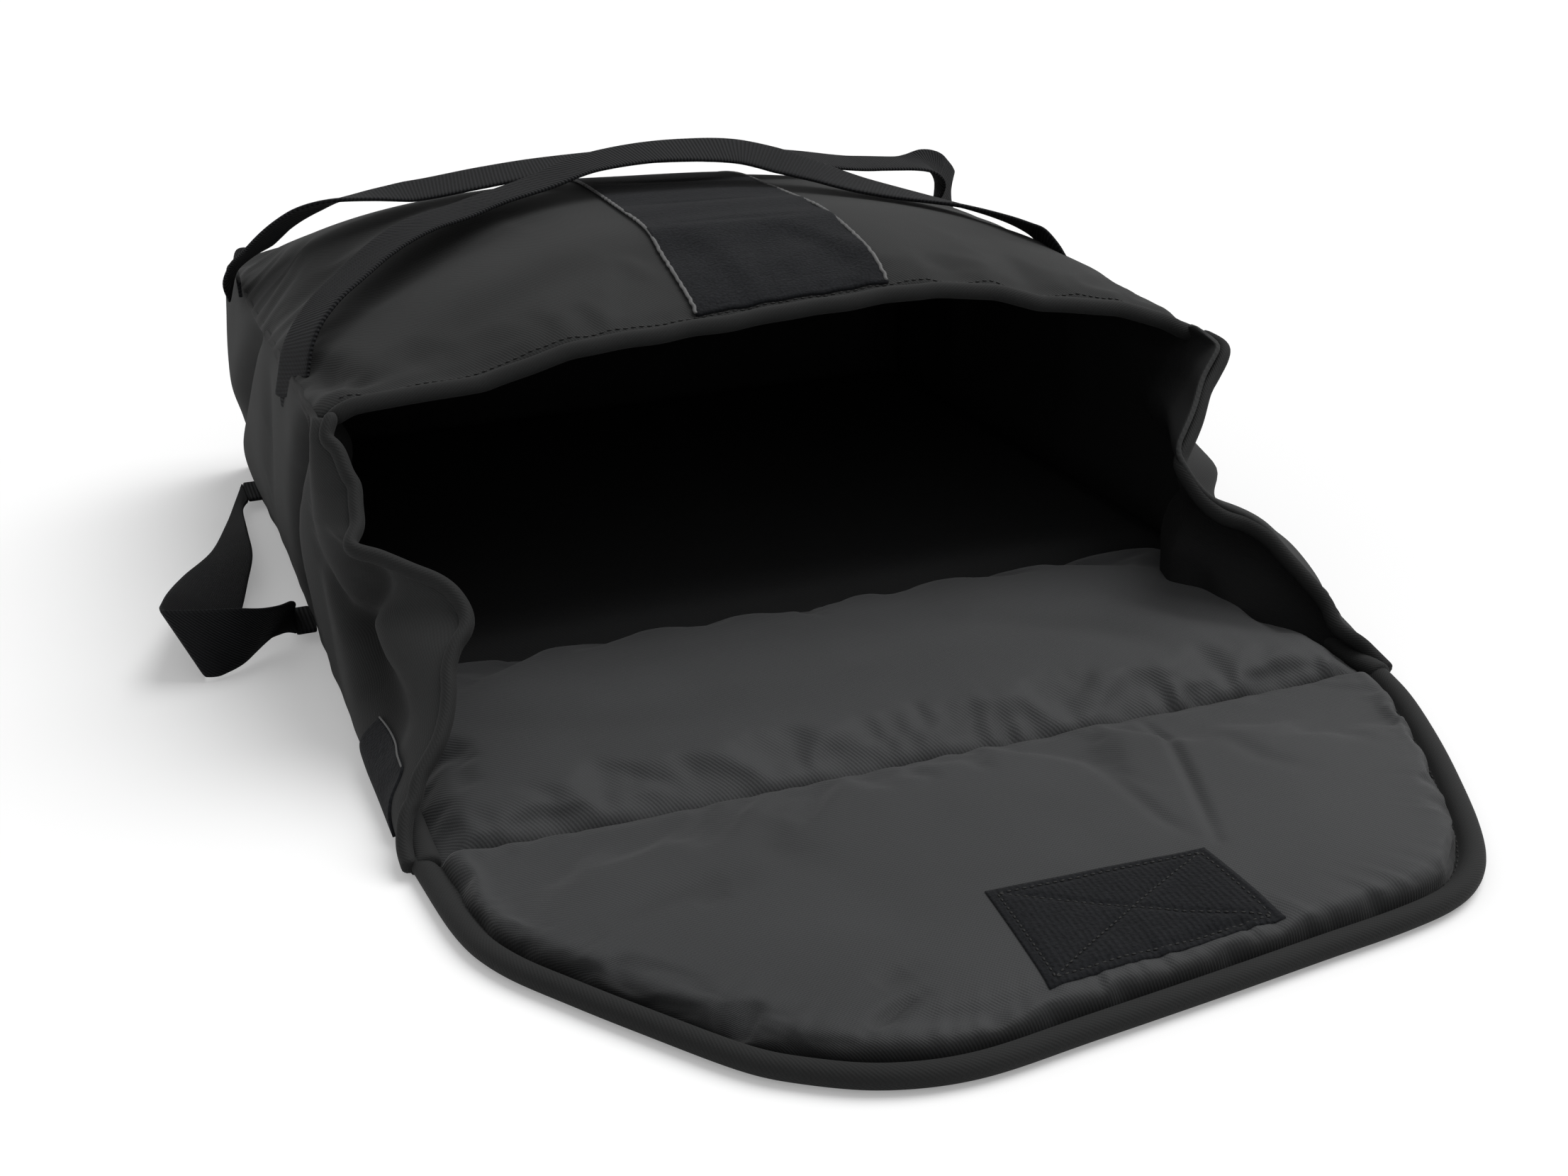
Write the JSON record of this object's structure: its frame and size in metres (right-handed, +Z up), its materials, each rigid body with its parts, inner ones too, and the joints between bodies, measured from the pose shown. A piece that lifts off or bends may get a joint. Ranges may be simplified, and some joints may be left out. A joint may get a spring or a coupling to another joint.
{
  "type": "insulated delivery bag",
  "caption": "Padded black cloth bag with its front wall and rounded closing flap laid open, webbing carry handles over a domed top and a webbing loop low on each side.",
  "frame": {"origin": "on the ground, at the centre of the closed box's footprint (the bag body without the opened front wall and flap)", "axes": "+X across the mouth to the bag's right as seen from the flap, -Y out of the mouth towards the flap, +Z up"},
  "size_m": [0.6578, 0.841, 0.2294],
  "materials": {
    "outer_cloth": "matte twill",
    "inner_cloth": "matte twill",
    "foam": "matte wadding",
    "binding": "matte",
    "strap": "ribbed webbing",
    "loop_tape": "brushed",
    "hook_tape": "ribbed"
  },
  "bodies": {
    "bag_body": {"bottom_lining": "inner_cloth", "bottom_pad": "foam", "bottom_shell": "outer_cloth", "front_handle_left_tab": "strap", "front_handle_right_tab": "strap", "left_grab_front_tab": "strap", "left_grab_rear_tab": "strap", "left_gusset": "outer_cloth", "left_loop_patch": "loop_tape", "left_mouth_hem": "binding", "left_side_lining": "inner_cloth", "left_side_pad": "foam", "left_side_shell": "outer_cloth", "lip_hem": "binding", "rear_handle_left_tab": "strap", "rear_handle_right_tab": "strap", "rear_lining": "inner_cloth", "rear_pad": "foam", "rear_shell": "outer_cloth", "right_grab_front_tab": "strap", "right_grab_rear_tab": "strap", "right_gusset": "outer_cloth", "right_loop_patch": "loop_tape", "right_mouth_hem": "binding", "right_side_lining": "inner_cloth", "right_side_pad": "foam", "right_side_shell": "outer_cloth", "top_lining": "inner_cloth", "top_loop_panel": "loop_tape", "top_pad": "foam", "top_shell": "outer_cloth"},
    "front_wall": {"front_wall_left_binding": "binding", "front_wall_lining": "inner_cloth", "front_wall_pad": "foam", "front_wall_right_binding": "binding", "front_wall_shell": "outer_cloth"},
    "left_grab_loop": {"left_grab_loop": "strap"},
    "right_grab_loop": {"right_grab_loop": "strap"},
    "flap": {"flap_hem": "binding", "flap_lining": "inner_cloth", "flap_pad": "foam", "flap_shell": "outer_cloth", "hook_patch": "hook_tape"},
    "front_handle": {"front_handle": "strap"},
    "rear_handle": {"rear_handle": "strap"}
  },
  "joints": [
    {"name": "front_wall_fold", "type": "hinge", "parent": "bag_body", "child": "front_wall", "pos_m": [0, -0.21, 0.0133], "axis": [-1, 0, 0], "range_deg": [0, 90], "deforming": ["left_gusset", "right_gusset", "left_mouth_hem", "right_mouth_hem"]},
    {"name": "flap_fold", "type": "hinge", "parent": "front_wall", "child": "flap", "pos_m": [0, -0.405, 0.0133], "axis": [1, 0, 0], "range_deg": [-90, 0]},
    {"name": "front_handle_swing", "type": "hinge", "parent": "bag_body", "child": "front_handle", "pos_m": [0, -0.125, 0.14998], "axis": [1, 0, 0], "range_deg": [0, 70]},
    {"name": "rear_handle_swing", "type": "hinge", "parent": "bag_body", "child": "rear_handle", "pos_m": [0, 0.125, 0.14402], "axis": [-1, 0, 0], "range_deg": [0, 80]},
    {"name": "left_loop_swing", "type": "hinge", "parent": "bag_body", "child": "left_grab_loop", "pos_m": [-0.24775, 0, 0.007], "axis": [0, 1, 0], "range_deg": [0, 30]},
    {"name": "right_loop_swing", "type": "hinge", "parent": "bag_body", "child": "right_grab_loop", "pos_m": [0.24775, 0, 0.007], "axis": [0, -1, 0], "range_deg": [0, 30]}
  ]
}
